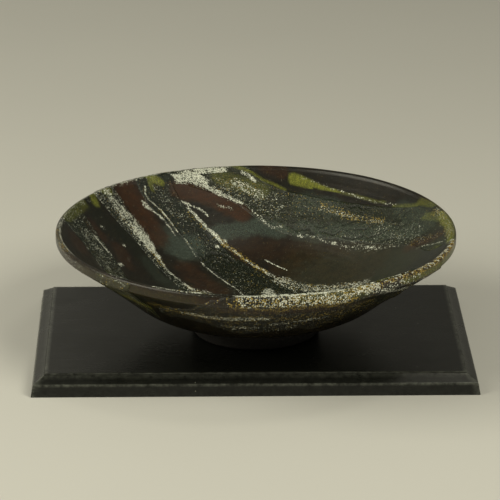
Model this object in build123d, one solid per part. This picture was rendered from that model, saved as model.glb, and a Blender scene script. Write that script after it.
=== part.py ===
from build123d import *
import os

# Ikebana suiban: a wide shallow flower basin of thrown stoneware with poured ash glazes,
# standing on its black lacquered display board.
# Millimetres. Origin: centre of the board's underside. +X along the board, +Y to the back, +Z up.

# Display board
board_length = 400.0
board_depth = 250.0
board_height = 17.6
moulding_side_height = 10.8    # height of the moulding's side face
moulding_batter = 1.9          # lean of the side face, foot to lip
moulding_bevel = 10.0          # plan width of the sloping bevel
moulding_lip_radius = 0.8      # softened arris between side face and bevel
panel_step = 0.8               # how far the panel stands above the bevel's inner edge
tongue_reach = 5.0             # tongue that locks the panel into the mouldings
tongue_height = 5.0
tongue_level = 5.5             # underside of the tongue above the board's underside

# Basin: the thrown clay
bowl_offset = 2.6              # the basin stands this far right of the board's centre
rim_radius = 182.9
bowl_height = 98.2
lip_width = 5.5
band_height = 10.5             # upright band below the lip
band_relief = 1.3              # depth of the turned groove under the band
wall_thickness = 6.5
floor_thickness = 9.0
floor_radius = 50.0            # flat well inside, where the flower holder stands
wall_start = 61.0              # radius where the flaring wall leaves the underside

# Basin: the foot ring
foot_radius = 60.0
foot_width = 9.0
foot_height = 13.0
foot_taper = 1.6               # lean of the ring's outer face
foot_chamfer = 1.5             # trimmed edges of the standing face

# Glazes
streak_thickness = 1.0
crust_thickness = 1.4
thread_width = 3.0

# Outer wall from the underside to the band's groove: shares of its flare and of its rise
WALL_SHARES = [(0, 0), (0.20, 0.13), (0.40, 0.26), (0.53, 0.42), (0.66, 0.59), (0.83, 0.80), (1, 1)]

# Plan outlines of the poured streaks, as shares of the rim radius: x to the right, y to the back.
# Each streak lies between a left and a right edge, both listed from its head to its tail, and
# an end with a distance over 1 lies outside the lip.
FAR_LEFT_SHARES = (
    [(-1.08, 0.22), (-0.88, 0.12), (-0.78, 0.00), (-0.70, -0.22), (-0.67, -0.48), (-0.80, -0.80)],
    [(-1.02, 0.53), (-0.82, 0.33), (-0.70, 0.18), (-0.60, -0.05), (-0.56, -0.40), (-0.66, -0.92)],
)
LEFT_SHARES = (
    [(-0.94, 0.61), (-0.76, 0.52), (-0.60, 0.42), (-0.44, 0.27), (-0.35, 0.10), (-0.33, -0.20),
     (-0.36, -0.60), (-0.46, -1.03)],
    [(-0.86, 0.74), (-0.64, 0.61), (-0.51, 0.43), (-0.38, 0.28), (-0.30, 0.10), (-0.25, -0.20),
     (-0.19, -0.60), (-0.14, -1.12)],
)
MIDDLE_SHARES = (
    [(-0.66, 0.89), (-0.55, 0.69), (-0.34, 0.56), (-0.20, 0.39), (-0.09, 0.24), (-0.04, -0.10),
     (-0.02, -0.50), (-0.05, -1.30)],
    [(-0.46, 1.00), (-0.38, 0.80), (-0.19, 0.64), (0.03, 0.44), (0.25, 0.27), (0.50, 0.12),
     (0.64, -0.15), (0.72, -0.48), (0.90, -0.98)],
)
FAR_SHARES = (
    [(-0.58, 0.94), (-0.36, 0.87), (-0.16, 0.85), (0.08, 0.71), (0.33, 0.60), (0.52, 0.48),
     (0.68, 0.33), (0.80, 0.18), (0.88, -0.04), (1.08, -0.24)],
    [(-0.14, 1.10), (0.08, 0.93), (0.30, 0.83), (0.52, 0.71), (0.72, 0.56), (0.88, 0.42),
     (1.10, 0.24)],
)
OLIVE_SHARES = (
    [(0.18, 0.935), (0.26, 0.90), (0.46, 0.80), (0.66, 0.655), (0.80, 0.53), (0.96, 0.41)],
    [(0.17, 0.965), (0.25, 0.945), (0.45, 0.84), (0.66, 0.68), (0.80, 0.55), (0.96, 0.43)],
)
OUTER_LEFT_SHARES = (
    [(-0.98, -0.84), (-0.68, -0.62), (-0.56, -0.50)],
    [(-0.84, -1.02), (-0.62, -0.70), (-0.52, -0.54)],
)
THREAD_SHARES = [(0.055, 0.535), (0.11, 0.485), (0.18, 0.425)]

# The broad runs on the outside: an edge across the wall, then corners that close it beyond the lip
OUTER_FRONT_SHARES = (
    [(-0.66, -1.04), (-0.50, -0.80), (-0.28, -0.73), (-0.08, -0.67), (0.14, -0.69), (0.34, -0.62),
     (0.52, -0.53), (0.72, -0.44), (1.04, -0.54)],
    [(1.30, -1.30), (-0.66, -1.30)],
)
OUTER_BACK_SHARES = (
    [(-1.10, 0.70), (-0.72, 0.55), (-0.58, 0.62), (-0.40, 0.70), (-0.22, 0.80), (-0.08, 1.14)],
    [(-1.10, 1.14)],
)

os.makedirs("parts", exist_ok=True)

board_edge = moulding_batter + moulding_bevel
bevel_top = board_height - panel_step
groove_radius = rim_radius - band_relief
band_foot = bowl_height - band_height
lip_radius = lip_width / 2
lip_spring = bowl_height - lip_radius
floor_level = foot_height + floor_thickness
bowl_place = Pos(bowl_offset, 0, board_height)


# Board panel, with a tongue all round that the mouldings hold
def board_panel():
    on_floor = (Align.CENTER, Align.CENTER, Align.MIN)
    length = board_length - 2 * board_edge
    depth = board_depth - 2 * board_edge
    tongue = Box(length + 2 * tongue_reach, depth + 2 * tongue_reach, tongue_height, align=on_floor)
    return Box(length, depth, board_height, align=on_floor) + Pos(0, 0, tongue_level) * tongue


# One moulding of the board's edge: along X, mitred at both ends, its foot on the X axis
def moulding(length):
    tongue_top = tongue_level + tongue_height
    groove_face = board_edge - tongue_reach
    section = Polyline(
        (0, 0), (moulding_batter, moulding_side_height), (board_edge, bevel_top),
        (board_edge, tongue_top), (groove_face, tongue_top), (groove_face, tongue_level),
        (board_edge, tongue_level), (board_edge, 0), close=True)
    bar = extrude(Plane.YZ * make_face(section), amount=length / 2, both=True)
    lip = bar.edges().filter_by(Axis.X).sort_by_distance((0, moulding_batter, moulding_side_height))
    bar = fillet(lip[0], moulding_lip_radius)
    mitre = Polyline(
        (-length / 2, 0), (length / 2, 0), (length / 2 - board_edge, board_edge),
        (board_edge - length / 2, board_edge), close=True)
    return bar & extrude(make_face(mitre), amount=board_height)


# Points moved square to the line that they follow, to its left where the distance is positive
def moved(points, distance):
    result = []
    for i, point in enumerate(points):
        ahead = points[min(i + 1, len(points) - 1)]
        behind = points[max(i - 1, 0)]
        along = (ahead - behind).normalized()
        result.append(point + Vector(-along.Y, along.X) * distance)
    return result


# The outer wall as radius and height, from the underside to the groove
def wall_points():
    return [Vector(wall_start + (groove_radius - wall_start) * flare,
                   foot_height + (band_foot - foot_height) * rise)
            for flare, rise in WALL_SHARES]


# The inner wall from the well's edge to the lip, at a distance above the clay
def inner_points(above):
    well_edge = Vector(floor_radius, floor_level + above)
    lip_foot = Vector(rim_radius - lip_width - above, lip_spring)
    return [well_edge] + moved(wall_points(), wall_thickness + above)[1:-1] + [lip_foot]


def turned(outline):
    return revolve(Plane.XZ * make_face(outline), Axis.Z)


# Thrown basin: flat well, flaring wall, groove, upright band and rolled lip
def bowl_body():
    inner = inner_points(0)
    band_start = (rim_radius, band_foot + band_relief)
    band_end = (rim_radius, lip_spring)
    return turned([
        Line((0, foot_height), (wall_start, foot_height)),
        Spline(*wall_points()),
        Polyline((groove_radius, band_foot), band_start, band_end),
        ThreePointArc(band_end, (rim_radius - lip_radius, bowl_height), inner[-1]),
        Spline(*inner[::-1]),
        Polyline((floor_radius, floor_level), (0, floor_level), (0, foot_height)),
    ])


# Foot ring, luted to the underside, its standing face trimmed
def foot_ring():
    inner_radius = foot_radius - foot_width
    outer_foot = foot_radius - foot_taper
    return turned(Polyline(
        (inner_radius, foot_height), (inner_radius, foot_chamfer), (inner_radius + foot_chamfer, 0),
        (outer_foot - foot_chamfer, 0), (outer_foot, foot_chamfer), (foot_radius, foot_height),
        close=True))


# Glaze skin over the whole inside wall
def inner_skin(thickness):
    clay = inner_points(0)
    face = inner_points(thickness)
    return turned([Spline(*clay), Line(clay[-1], face[-1]), Spline(*face[::-1]), Line(face[0], clay[0])])


# Glaze skin over the whole outside wall and band
def outer_skin(thickness):
    clay = wall_points()
    face = moved(clay, -thickness)
    skin_radius = rim_radius + thickness
    return turned([
        Spline(*clay),
        Polyline(clay[-1], (rim_radius, band_foot + band_relief), (rim_radius, lip_spring),
                 (skin_radius, lip_spring), (skin_radius, band_foot), face[-1]),
        Spline(*face[::-1]),
        Line(face[0], clay[0]),
    ])


# Shares of the rim radius as points in plan
def in_plan(shares):
    return [Vector(x, y) * rim_radius for x, y in shares]


# Upright block over a streak between two edges
def streak_block(left, right):
    outline = [Spline(*left), Line(left[-1], right[-1]), Spline(*right[::-1]), Line(right[0], left[0])]
    return extrude(make_face(outline), amount=bowl_height, dir=(0, 0, 1))


# Upright block over a broad run on the outside
def run_block(edge, corners):
    outline = [Spline(*edge), Polyline(edge[-1], *corners, edge[0])]
    return extrude(make_face(outline), amount=bowl_height, dir=(0, 0, 1))


def save(shape, node):
    export_step(shape, "parts/" + node + ".step")


save(board_panel(), "board_panel")
long_moulding = Pos(0, -board_depth / 2) * moulding(board_length)
short_moulding = Pos(0, -board_length / 2) * moulding(board_depth)
save(long_moulding, "board_moulding_front")
save(Rot(0, 0, 180) * long_moulding, "board_moulding_back")
save(Rot(0, 0, 90) * short_moulding, "board_moulding_right")
save(Rot(0, 0, -90) * short_moulding, "board_moulding_left")

save(bowl_place * bowl_body(), "bowl_body")
save(bowl_place * foot_ring(), "foot_ring")

streaks = {
    "ash_streak_far_left": (FAR_LEFT_SHARES, inner_skin(streak_thickness)),
    "ash_streak_left": (LEFT_SHARES, inner_skin(streak_thickness)),
    "ash_streak_middle": (MIDDLE_SHARES, inner_skin(crust_thickness)),
    "ash_streak_far": (FAR_SHARES, inner_skin(crust_thickness)),
    "olive_streak": (OLIVE_SHARES, inner_skin(streak_thickness)),
    "outer_ash_left": (OUTER_LEFT_SHARES, outer_skin(streak_thickness)),
}
for node, (shares, skin) in streaks.items():
    left, right = map(in_plan, shares)
    save(bowl_place * (skin & streak_block(left, right)), node)

thread = in_plan(THREAD_SHARES)
thread_block = streak_block(moved(thread, thread_width / 2), moved(thread, -thread_width / 2))
save(bowl_place * (inner_skin(streak_thickness) & thread_block), "ash_thread")

runs = {"outer_ash_front": OUTER_FRONT_SHARES, "outer_ash_back": OUTER_BACK_SHARES}
for node, shares in runs.items():
    edge, corners = map(in_plan, shares)
    save(bowl_place * (outer_skin(crust_thickness) & run_block(edge, corners)), node)
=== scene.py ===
"""Ikebana suiban on its display board: the looks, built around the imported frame."""
import math

import bpy
import numpy as np
from bpy.props import FloatProperty, FloatVectorProperty, PointerProperty
from mathutils import Matrix, Vector


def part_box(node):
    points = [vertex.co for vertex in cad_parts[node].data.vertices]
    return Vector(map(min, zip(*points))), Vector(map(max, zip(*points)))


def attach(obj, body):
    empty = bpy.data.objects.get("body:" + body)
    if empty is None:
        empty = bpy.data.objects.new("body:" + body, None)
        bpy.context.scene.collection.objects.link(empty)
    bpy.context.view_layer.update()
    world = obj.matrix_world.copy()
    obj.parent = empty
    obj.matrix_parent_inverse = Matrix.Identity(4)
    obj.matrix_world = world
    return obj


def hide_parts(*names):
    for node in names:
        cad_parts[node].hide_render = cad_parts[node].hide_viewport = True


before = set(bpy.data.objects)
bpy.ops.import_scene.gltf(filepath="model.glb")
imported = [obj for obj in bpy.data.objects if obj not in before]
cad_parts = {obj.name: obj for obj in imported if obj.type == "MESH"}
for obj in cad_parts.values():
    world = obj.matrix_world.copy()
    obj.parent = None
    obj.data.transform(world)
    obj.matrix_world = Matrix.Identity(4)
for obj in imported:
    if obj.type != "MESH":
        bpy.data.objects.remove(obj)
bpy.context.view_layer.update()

bl_info = {
    "name": "Ikebana Suiban",
    "version": (1, 0, 0),
    "blender": (4, 5, 0),
    "location": "3D View > Sidebar > Suiban",
    "description": "Builds a wide flower basin with poured ash glazes on its lacquered board",
    "category": "Add Mesh",
}

BOWL_LOW, BOWL_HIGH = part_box("bowl_body")
FOOT_LOW, FOOT_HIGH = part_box("foot_ring")
PANEL_LOW, PANEL_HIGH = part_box("board_panel")
BOARD_LOW, BOARD_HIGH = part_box("board_moulding_front")

MM = 0.001
RIM = (BOWL_HIGH.x - BOWL_LOW.x) / 2
AXIS = (BOWL_HIGH.x + BOWL_LOW.x) / 2
RIM_TOP = BOWL_HIGH.z
UNDERSIDE = BOWL_LOW.z
FOOT_RADIUS = (FOOT_HIGH.x - FOOT_LOW.x) / 2
BOARD_TOP = PANEL_HIGH.z
# How far the panel's tongue reaches into the mouldings
TONGUE = 5 * MM

# The camera that took the picture: where it stood, its pitch, yaw and roll in degrees, and its focal
# length in pixels of a picture this many pixels wide
EYE = np.array([-0.0644, -2.7134, 1.0541])
EYE_TURNS = (19.484, 1.300, 0.149)
FOCAL_PIXELS, PICTURE_PIXELS = 3143, 500
SENSOR_MM = 36

# How finely lines are sampled: a drawn edge, a curve of the basin's section, its lip, all of it, the
# foot's section, and the arris of the board's moulding
EDGE_POINTS, CURVE_POINTS, LIP_POINTS, SECTION_POINTS, FOOT_POINTS, ARRIS_POINTS = 500, 600, 60, 2400, 90, 7
# The section's corners are softened over this many samples each way
SOFTENING = 5
# Points round the basin and round the foot, along the panel, across it and along a moulding
BASIN_ROUND, FOOT_ROUND, PANEL_LONG, PANEL_WIDE, MOULDING_LONG = 560, 240, 110, 70, 60
# Height of the outer runs' cells, in millimetres
RUN_CELL = 1.4

# How far the thrown wall is out of true, and how much higher its far rim stands. The near-right lip
# has a bump with a dip beside it: the height, the azimuth in degrees and the spread of each
UNEVEN = 0.25 * MM
FAR_RIM_LIFT = 1.1 * MM
LIP_BUMPS = ((1.3 * MM, -50, 9), (-0.9 * MM, -67, 6))
# Depth of the glazes' undersides in the clay, where no light gets between
ROOT = 0.45 * MM

# The glaze drawings below are in millimetres on a rim of this radius. They were made on a slightly
# flatter dish, whose radius and height these are.
DRAWN_RIM = 183.0
DRAWING = RIM / MM / DRAWN_RIM
DRAWN_DISH = [(0, 39.6), (30, 39.6), (55, 40.6), (80, 44.1), (100, 50.6), (125, 65.6), (140, 77.6),
              (157, 91.6), (171, 103.1), (178, 109.6), (182.5, 115.8)]

# Outer wall from the underside to the band's groove: shares of its flare and of its rise
WALL_SHARES = [(0, 0), (0.20, 0.13), (0.40, 0.26), (0.53, 0.42), (0.66, 0.59), (0.83, 0.80), (1, 1)]

# Poured streaks: left and right edge, head to tail, as shares of the rim radius from the basin's
# centre, x to the right and y to the back. An end beyond 1 runs over the lip.
STREAKS = {
    "ash_streak_far_left": (
        [(-1.08, 0.22), (-0.88, 0.12), (-0.78, 0.00), (-0.70, -0.22), (-0.67, -0.48), (-0.80, -0.80)],
        [(-1.02, 0.53), (-0.82, 0.33), (-0.70, 0.18), (-0.60, -0.05), (-0.56, -0.40), (-0.66, -0.92)],
    ),
    "ash_streak_left": (
        [(-0.94, 0.61), (-0.76, 0.52), (-0.60, 0.42), (-0.44, 0.27), (-0.35, 0.10), (-0.33, -0.20),
         (-0.36, -0.60), (-0.46, -1.03)],
        [(-0.86, 0.74), (-0.64, 0.61), (-0.51, 0.43), (-0.38, 0.28), (-0.30, 0.10), (-0.25, -0.20),
         (-0.19, -0.60), (-0.14, -1.12)],
    ),
    "ash_streak_middle": (
        [(-0.66, 0.89), (-0.55, 0.69), (-0.34, 0.56), (-0.20, 0.39), (-0.09, 0.24), (-0.04, -0.10),
         (-0.02, -0.50), (-0.05, -1.30)],
        [(-0.46, 1.00), (-0.38, 0.80), (-0.19, 0.64), (0.03, 0.44), (0.25, 0.27), (0.50, 0.12),
         (0.64, -0.15), (0.72, -0.48), (0.90, -0.98)],
    ),
    "ash_streak_far": (
        [(-0.58, 0.94), (-0.36, 0.87), (-0.16, 0.85), (0.08, 0.71), (0.33, 0.60), (0.52, 0.48),
         (0.68, 0.33), (0.80, 0.18), (0.88, -0.04), (1.08, -0.24)],
        [(-0.14, 1.10), (0.08, 0.93), (0.30, 0.83), (0.52, 0.71), (0.72, 0.56), (0.88, 0.42),
         (1.10, 0.24)],
    ),
    "olive_streak": (
        [(0.18, 0.935), (0.26, 0.90), (0.46, 0.80), (0.66, 0.655), (0.80, 0.53), (0.96, 0.41)],
        [(0.17, 0.965), (0.25, 0.945), (0.45, 0.84), (0.66, 0.68), (0.80, 0.55), (0.96, 0.43)],
    ),
}
THREAD = [(0.055, 0.535), (0.11, 0.485), (0.18, 0.425)]

# Runs on the outside: azimuth in degrees from the right, then where the run starts and ends, in
# millimetres down from the lip's top
OUTER_RUNS = {
    "outer_ash_front": [
        (-127, 58, 62), (-124, 47, 68), (-120, 40, 66), (-116, 35, 66), (-112, 30, 72), (-108, 20, 78),
        (-104, 9, 84), (-100, 4, 88), (-96, 3, 90), (-88, 3, 86), (-79, 3, 84), (-70, 3, 87), (-61, 3, 84),
        (-53, 3, 75), (-45, 3, 72), (-38, 3, 60), (-32, 3, 38), (-28, 3, 18), (-26, 3, 8)],
    "outer_ash_left": [
        (-142, 5, 6), (-140, 5, 18), (-138, 5, 40), (-137, 5, 64), (-134, 5, 84), (-131, 5, 66),
        (-130, 5, 38), (-129, 5, 16), (-128, 5, 6)],
    "outer_ash_back": [
        (98, 3, 9), (101, 3, 26), (106, 3, 52), (113, 3, 60), (121, 3, 64), (128, 3, 80), (134, 3, 88),
        (138, 3, 76), (142, 3, 44), (146, 3, 9)],
}

# Glaze drawings: each stroke is its strength, its half width at the start and at the end, and the
# points of its line. The inside is drawn in plan from the basin's centre, x to the right and y to
# the back.
INSIDE = {
    "cream_and_highlight": [
        (0.7, 4, 9, -140, 114, -128, 106, -115, 98),
        (0.7, 9, 8, -115, 98, -104, 89),
        (0.55, 3, 6, -134, 108, -122, 99, -108, 89, -98, 80),
        (0.9, 8, 3, -104, 89, -95, 80, -90, 74),
        (0.65, 1.6, 2.2, -90, 74, -80, 61, -70, 51, -60, 38, -53, 31),
        (0.55, 3, 4, -66, 44, -58, 36, -50, 31),
        (0.95, 2.2, 2.2, -124, 34, -125, 31),
        (0.8, 1.8, 1.8, -142, 70, -142, 69),
        (0.6, 1.6, 1.6, -122, 65, -121, 65),
        (0.6, 1.5, 1.5, -157, 48, -157, 47),
        (0.75, 2.2, 1.5, -148, 48, -142, 42, -134, 36),
        (0.28, 9, 10, -156, 42, -148, 30, -140, 18, -138, 0),
        (0.35, 5, 6, -181, 20, -177, 45, -170, 68, -160, 88),
        (0.2, 6, 8, -92, 148, -84, 138, -70, 125),
        (0.85, 1, 0.9, -103, 142, -103, 136, -99, 131, -94, 129, -87, 126, -80, 120, -73, 113),
        (0.8, 1, 0.8, -106, 127, -101, 124, -95, 122, -88, 120, -81, 115, -74, 108),
        (0.9, 3, 2.5, -103, 125, -99, 123),
        (0.4, 1, 0.9, -67, 110, -62, 104, -57, 96, -52, 91),
        (0.65, 0.9, 1, -50, 88, -44, 80, -37, 72, -30, 62, -25, 55, -18, 45, -14, 36, -11, 28, -8, 5, -5,
         -25),
        (0.11, 12, 14, -85, 140, -65, 125, -45, 112),
        (0.12, 16, 20, -40, 100, -25, 80, -12, 55, -5, 30),
        (0.8, 1.2, 1.2, -68, 143, -58, 142, -50, 141, -43, 137),
        (0.8, 1.6, 2.4, -62, 139, -55, 134, -48, 129, -42, 124, -35, 120, -30, 114),
        (0.55, 1.6, 1.4, -26, 111, -18, 107, -10, 100, -4, 93, 2, 88, 10, 81),
        (0.5, 2, 4, 10, 81, 14, 74, 20, 66, 27, 58),
        (0.9, 1.8, 1.8, -35, 108, -34, 108),
        (0.8, 1.5, 1.5, -27, 116, -26, 116),
        (0.9, 1.7, 1.7, -25, 74, -25, 73),
        (0.42, 8, 9, 24, 62, 36, 48, 52, 38, 75, 29, 98, 22),
        (0.7, 6, 6, 12, 38, 14, 28),
        (0.4, 1, 1, 78, 40, 90, 33, 102, 25),
        # The next three pale strokes on the far streak's head are pale ash with painted glare: the white
        # shine of light off the glaze there
        (1, 5, 6, -72, 162, -60, 167, -48, 165),
        (1, 2.6, 2.2, -54, 173, -40, 176, -26, 178),
        (0.85, 2.5, 2, -48, 163, -38, 160, -30, 158, -20, 155, -10, 152),
        (0.21, 6, 14, -38, 168, -20, 162, 0, 155, 20, 150),
        (0.5, 5, 4, -16, 169, -4, 164, 8, 158),
        (0.9, 2, 1.5, -9, 178, -3, 175, 3, 171),
        (0.45, 1.3, 1.3, -5, 150, 5, 141, 12, 135, 18, 130, 28, 129),
        (0.07, 12, 10, 25, 148, 50, 138, 75, 128),
        (0.32, 2.8, 2.2, 66, 136, 80, 127, 92, 118, 104, 107, 114, 98, 122, 90),
        (0.46, 0.9, 0.8, 40, 118, 52, 116, 62, 110, 70, 102, 78, 98, 86, 90, 96, 82, 106, 75, 117, 63, 126,
         56, 136, 47),
        (0.9, 1.8, 1.8, 76, 98, 77, 98),
        (0.8, 1.8, 1.8, 106, 74, 107, 74),
        (0.8, 1.8, 1.8, 46, 117, 47, 117),
        (0.18, 7, 8, 85, 96, 100, 84, 115, 71, 128, 60),
        (0.2, 10, 12, 120, 85, 135, 65, 148, 48),
        (0.25, 5, 6, 172, 60, 178, 30, 180, 0, 178, -30),
        (0.45, 1, 1, 150, 22, 158, 12, 166, 0, 172, -10, 176, -20),
        (0.2, 4, 5, 148, 36, 158, 27, 168, 15),
        (0.3, 0.9, 0.9, 48, 169, 62, 161, 74, 153, 84, 146),
        (0.5, 0.8, 0.7, 84, 146, 92, 140, 100, 133, 112, 123, 123, 113, 135, 102),
        (0.6, 1.3, 1.3, -33, 148, -27, 147),
        (0.6, 1.2, 1.2, -24, 148, -19, 146),
        (0.45, 9, 22, -50, 30, -48, -20, -50, -80, -55, -180),
        (0.3, 16, 40, 30, 20, 50, -40, 60, -110, 70, -170),
        (0.4, 7, 9, -120, -10, -115, -60, -125, -130),
    ],
    "gold": [
        (0.7, 4, 3, -98, 80, -91, 74, -86, 66),
        (0.5, 4, 5, -62, 42, -50, 32),
        (0.6, 3, 3, -34, 119, -29, 113),
        (0.75, 3, 3, -28, 112, -18, 107, -8, 98, 2, 88, 12, 78),
        (0.4, 3, 3, -60, 134, -45, 124),
        (0.4, 2, 2, -90, 127, -74, 114),
        (0.14, 14, 12, -5, 160, 20, 152, 40, 145, 60, 138),
        (0.5, 4.5, 4, 66, 137, 80, 128, 95, 115, 108, 104, 122, 92),
        (0.15, 10, 12, 5, 75, 2, 50, 8, 30),
        (0.35, 8, 9, 26, 60, 40, 46, 58, 36, 90, 26),
        (0.3, 8, 8, -30, 168, 0, 164),
        (0.4, 5, 5, 170, 60, 178, 30, 179, -10),
        (0.25, 5, 5, 148, 35, 158, 26, 168, 14),
        (0.35, 3, 3, -128, 100, -110, 90),
        (0.18, 12, 30, 20, 10, 40, -60, 60, -160),
        (0.35, 8, 18, -52, 20, -52, -60, -60, -170),
    ],
    "olive": [
        (0.95, 4.5, 3.5, -104, 151, -96, 152, -88, 153),
        (0.6, 3, 2, -98, 148, -96, 143),
        (0.8, 4, 4, -154, 98, -149, 94),
        (0.5, 4, 4, -143, 112, -137, 116),
        (0.4, 5, 5, -176, 40, -168, 64, -160, 82),
        (0.3, 7, 8, -34, 173, -18, 170, -4, 167, 10, 162),
        (0.6, 1.5, 1.4, -30, 180, -12, 181, 0, 178, 10, 172, 22, 167, 32, 161),
        (1, 3.8, 0.9, 39, 171, 46, 168, 55, 163, 64, 157, 74, 151, 84, 145),
        (0.9, 3.4, 0.6, 39, 168, 45, 164.5, 51, 161, 58, 157.5),
        (0.45, 1.2, 1.2, 82, 146, 100, 134, 125, 112),
        (0.45, 1.3, 2.2, 132, 103, 143, 94, 154, 84),
        (0.45, 3, 3, 156, 86, 165, 73, 170, 64),
        (0.35, 4, 5, 160, 62, 168, 52, 174, 40),
        (0.85, 5, 5, 175, 45, 179, 20, 180, 0, 178, -25),
        (0.04, 30, 30, 50, 80, 90, 60, 130, 20),
    ],
    "green": [
        (0.6, 12, 12, -125, 83, -105, 68, -92, 52, -85, 38),
        (0.5, 14, 14, -150, 85, -140, 75, -130, 75),
        (0.7, 12, 12, -155, 40, -145, 28, -135, 12),
        (0.55, 13, 15, -92, 143, -75, 128, -58, 115),
        (0.5, 18, 22, -45, 105, -25, 75, -8, 45),
        (0.8, 12, 14, 5, 72, 0, 50, 3, 30),
        (0.8, 9, 10, -30, 170, -5, 165, 15, 158),
        (0.7, 14, 14, -8, 156, 15, 146, 40, 140),
        (0.4, 10, 10, 45, 148, 60, 142, 76, 131),
        (0.4, 8, 8, 105, 100, 125, 80, 135, 65),
        (0.3, 8, 8, 38, 165, 50, 158),
        (0.5, 8, 8, -160, 92, -168, 70),
        (0.5, 24, 60, 20, 20, 30, -60, 50, -170),
        (0.5, 12, 20, -50, 20, -50, -60, -58, -170),
    ],
    "slate_and_sheen": [
        # The first two patches, in the well, are painted reflection: soft sheens of light on the glaze, laid
        # in as grey skin
        (0.95, 14, 12, -82, 100, -68, 94, -58, 102),
        (0.9, 8, 7, -32, 124, -15, 128, 5, 132, 18, 128, 28, 125),
        (0.45, 10, 10, 48, 146, 62, 141, 76, 132),
        (0.6, 9, 9, 45, 122, 62, 114, 80, 108, 96, 98, 112, 87, 128, 72),
        (0.3, 8, 8, -100, 60, -88, 45, -72, 38),
        (0.5, 9, 9, 140, 95, 150, 75, 158, 60),
        (0.6, 10, 10, 140, 62, 152, 52, 162, 45),
        # A wide faint patch low at the right: partly grey skin and partly painted reflection of the backdrop
        # at a grazing angle
        (0.3, 30, 30, 60, 60, 95, 55, 115, 35, 135, 10, 150, -10),
        (0.5, 5, 5, 12, 36, 16, 28),
    ],
    "rust": [
        (0.9, 15, 13, -122, 130, -106, 114, -92, 100),
        (1, 9, 8, -72, 152, -50, 156, -25, 149, -8, 143),
        (0.28, 14, 14, -12, 110, 15, 108, 45, 100),
        (0.5, 14, 14, -62, 72, -48, 50, -35, 35),
        (0.5, 9, 9, -152, 62, -145, 55),
        (0.5, 9, 9, -125, 55, -120, 42),
        (0.5, 8, 8, -165, 18, -160, 0),
        (0.9, 5, 5, 148, 33, 154, 25, 161, 18, 170, 12),
        (0.5, 9, 8, 146, 34, 158, 22, 170, 14),
        (0.5, 6, 6, 15, 180, 30, 176),
        (0.5, 5, 5, 160, 90, 166, 78),
        (0.22, 30, 30, 40, 85, 75, 70, 100, 50),
    ],
}

# Short folds where the far streak's skin crept together, drawn as the glazes are. The skin dips along them,
# and the ash covers there give way to the dark iron as painted shade.
FOLDS = [
    (0.9, 1.2, 1, 44, 125, 49, 121, 53, 122, 57, 116),
    (0.9, 1, 1, 47, 117, 52, 119, 56, 114, 60, 115),
    (0.8, 1, 0.8, 38, 128, 42, 123, 46, 122),
    (0.8, 1, 0.8, 66, 114, 72, 110, 76, 106, 83, 107),
    (0.7, 0.9, 0.8, 60, 122, 66, 118, 72, 119),
    (0.9, 1.1, 0.9, 94, 125, 101, 123, 105, 117, 110, 116),
    (0.7, 0.9, 0.8, 85, 112, 94, 110, 104, 108, 110, 103),
    (0.8, 1, 0.9, 85, 99, 94, 92, 103, 90),
    (0.8, 0.9, 0.8, 98, 100, 106, 95, 113, 94),
    (0.9, 1.1, 0.8, 131, 83, 135, 88, 139, 91, 144, 91),
    (0.9, 1.2, 0.9, 136, 75, 139, 80, 143, 84, 148, 84),
    (0.8, 0.9, 0.8, 126, 92, 130, 94, 134, 98),
    (0.7, 0.9, 0.8, 108, 84, 117, 80, 126, 79),
    (0.7, 0.9, 0.8, 120, 70, 127, 66, 131, 60),
]

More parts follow.
